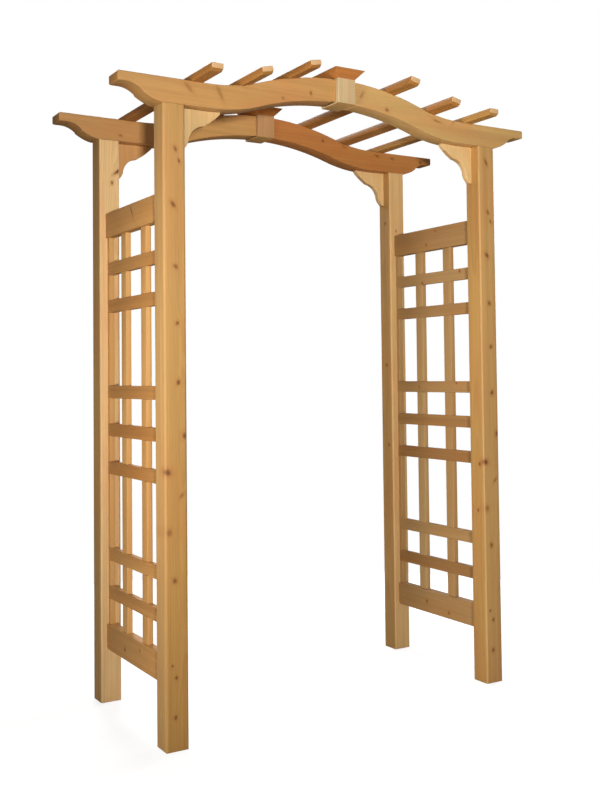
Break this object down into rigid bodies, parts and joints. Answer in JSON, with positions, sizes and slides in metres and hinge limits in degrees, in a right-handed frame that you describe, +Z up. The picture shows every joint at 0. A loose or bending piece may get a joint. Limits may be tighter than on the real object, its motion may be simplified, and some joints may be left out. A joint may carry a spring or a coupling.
{
  "type": "garden arbor",
  "caption": "Free-standing timber garden arbor: square posts, arched headers with flared keystones, corner brackets, cross slats on top and lattice panels on both sides.",
  "frame": {"origin": "centre of the footprint on the ground", "axes": "+X along the headers to the right, +Y from the front header to the back one, +Z up"},
  "size_m": [1.924, 1.08, 2.555],
  "materials": {
    "post_wood": "oiled, satin",
    "header_wood": "oiled, satin",
    "pale_wood": "oiled, satin",
    "slat_wood": "oiled, satin",
    "panel_wood": "oiled, satin"
  },
  "bodies": {
    "root": {"post_front_left": "post_wood", "post_front_right": "post_wood", "post_back_left": "post_wood", "post_back_right": "post_wood", "header_front_left": "header_wood", "header_front_right": "header_wood", "header_back_left": "header_wood", "header_back_right": "header_wood", "keystone_front": "pale_wood", "keystone_back": "pale_wood", "keystone_cap_front": "pale_wood", "keystone_cap_back": "pale_wood", "bracket_front_left": "pale_wood", "bracket_front_right": "pale_wood", "bracket_back_left": "pale_wood", "bracket_back_right": "pale_wood", "cross_slat_1": "slat_wood", "cross_slat_2": "slat_wood", "cross_slat_3": "slat_wood", "cross_slat_4": "slat_wood", "cross_slat_5": "slat_wood", "cross_slat_6": "slat_wood", "top_rail_left": "panel_wood", "top_rail_right": "panel_wood", "bottom_rail_left": "panel_wood", "bottom_rail_right": "panel_wood", "stile_front_left": "panel_wood", "stile_back_left": "panel_wood", "stile_front_right": "panel_wood", "stile_back_right": "panel_wood", "uprights_left": "panel_wood", "uprights_right": "panel_wood", "crossbars_left": "panel_wood", "crossbars_right": "panel_wood"}
  },
  "joints": []
}
